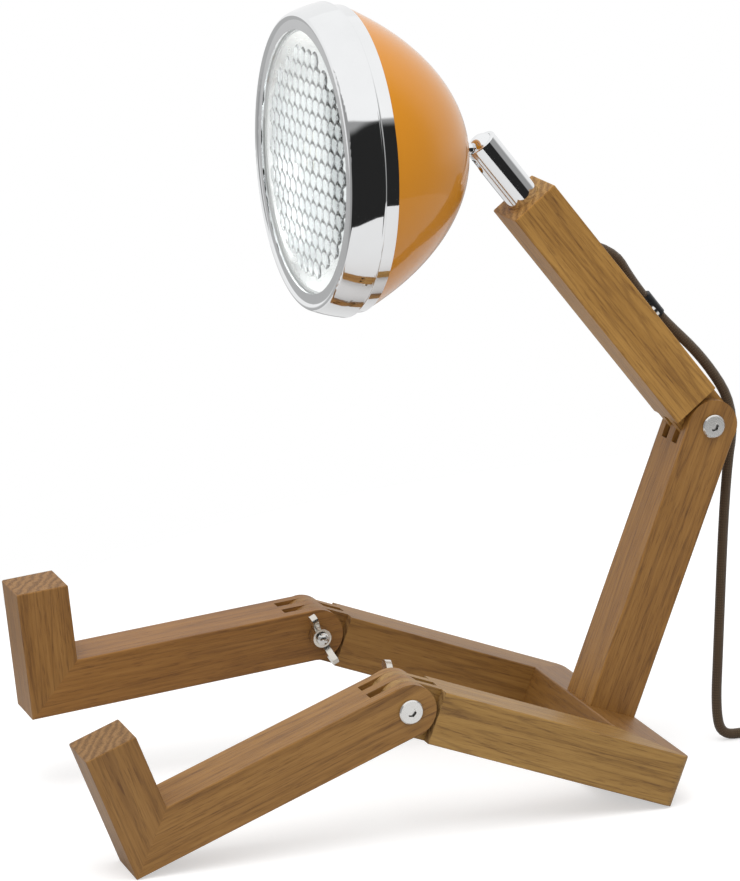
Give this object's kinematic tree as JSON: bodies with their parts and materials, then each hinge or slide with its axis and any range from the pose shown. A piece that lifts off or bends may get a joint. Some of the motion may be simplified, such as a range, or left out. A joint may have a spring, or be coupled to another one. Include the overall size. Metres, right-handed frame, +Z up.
{
  "type": "robot shaped desk lamp",
  "caption": "Desk lamp shaped as a seated wooden figure with hinged knees and waist, a round orange headlamp with a chrome ring as its head, and a braided cord with switch and plug.",
  "frame": {"origin": "on the table under the middle of the lamp without its cord", "axes": "-Y is the way the lamp faces, +X is its left side, +Z is up"},
  "size_m": [0.2417, 0.48, 0.3745],
  "materials": {
    "wood_frame": "satin",
    "wood_post": "satin",
    "wood_legs": "satin",
    "dowel_wood": "matte",
    "bolt_chrome": "polished",
    "nut_nickel": "polished",
    "neck_chrome": "polished",
    "orange_paint": "gloss",
    "bezel_chrome": "polished",
    "lens_glass": "polished",
    "seal_rubber": "matte",
    "reflector_mirror": "polished",
    "board_plastic": "matte",
    "emitter_plastic": "matte",
    "sink_aluminium": "satin",
    "lead_plastic": "matte",
    "clip_plastic": "satin",
    "cord_braid": "matte",
    "switch_plastic": "satin",
    "pin_chrome": "polished"
  },
  "bodies": {
    "base": {"base_crosspiece": "wood_frame", "base_left_rail": "wood_frame", "base_right_rail": "wood_frame", "base_dowels": "dowel_wood", "post": "wood_post", "post_screws": "bolt_chrome", "elbow_bolt": "bolt_chrome", "cord_drop": "cord_braid", "cord_coil": "cord_braid", "cord_tail": "cord_braid", "cord_end": "cord_braid", "switch_lower": "switch_plastic", "switch_upper": "switch_plastic", "rocker_pin": "pin_chrome", "plug_body": "switch_plastic", "plug_pins": "pin_chrome"},
    "left_leg": {"left_shin": "wood_legs", "left_foot": "wood_legs", "left_foot_dowels": "dowel_wood", "left_knee_bolt": "bolt_chrome"},
    "right_leg": {"right_shin": "wood_legs", "right_foot": "wood_legs", "right_foot_dowels": "dowel_wood", "right_knee_bolt": "bolt_chrome"},
    "left_knee_nut": {"left_knee_wing_nut": "nut_nickel"},
    "right_knee_nut": {"right_knee_wing_nut": "nut_nickel"},
    "elbow_nut": {"elbow_wing_nut": "nut_nickel"},
    "arm": {"arm": "wood_post", "arm_lead": "lead_plastic", "cord_arm_run": "cord_braid", "cord_clip": "clip_plastic", "clip_screw": "bolt_chrome"},
    "neck": {"neck_tube": "neck_chrome"},
    "head": {"ball_stud": "neck_chrome", "head_bowl": "orange_paint", "head_bezel": "bezel_chrome", "bezel_screw": "bolt_chrome", "lens": "lens_glass", "lens_gasket": "seal_rubber", "reflector": "reflector_mirror", "spring_ring": "bolt_chrome", "light_board": "board_plastic", "emitter": "emitter_plastic", "heat_sink": "sink_aluminium", "head_lead": "lead_plastic", "stud_nut": "nut_nickel"},
    "rocker": {"rocker": "switch_plastic"}
  },
  "joints": [
    {"name": "left_knee", "type": "hinge", "parent": "base", "child": "left_leg", "pos_m": [0.06425, -0.01887, 0.06284], "axis": [1, 0, 0], "range_deg": [-131.7, 48.3]},
    {"name": "right_knee", "type": "hinge", "parent": "base", "child": "right_leg", "pos_m": [-0.06425, -0.01887, 0.06284], "axis": [1, 0, 0], "range_deg": [-116.1, 63.9]},
    {"name": "elbow", "type": "hinge", "parent": "base", "child": "arm", "pos_m": [0, 0.15856, 0.16371], "axis": [1, 0, 0], "range_deg": [-104, 30.8], "deforming": ["cord_drop"]},
    {"name": "neck_swivel", "type": "hinge", "parent": "arm", "child": "neck", "pos_m": [0, 0.04883, 0.3026], "axis": [0, -0.6199, 0.7847], "range_deg": [-150, 150]},
    {"name": "head_tilt", "type": "hinge", "parent": "neck", "child": "head", "pos_m": [0, 0.04883, 0.3026], "axis": [1, 0, 0], "range_deg": [-76, 35]},
    {"name": "left_knee_nut_turn", "type": "hinge", "parent": "left_leg", "child": "left_knee_nut", "pos_m": [0.06425, -0.01887, 0.06284], "axis": [1, 0, 0], "continuous": true},
    {"name": "right_knee_nut_turn", "type": "hinge", "parent": "right_leg", "child": "right_knee_nut", "pos_m": [-0.06425, -0.01887, 0.06284], "axis": [1, 0, 0], "continuous": true},
    {"name": "elbow_nut_turn", "type": "hinge", "parent": "base", "child": "elbow_nut", "pos_m": [0, 0.15856, 0.16371], "axis": [1, 0, 0], "continuous": true},
    {"name": "switch_rocker", "type": "hinge", "parent": "base", "child": "rocker", "pos_m": [0.075, 0.29674, 0.015], "axis": [0, 1, 0], "range_deg": [-12, 0]}
  ]
}
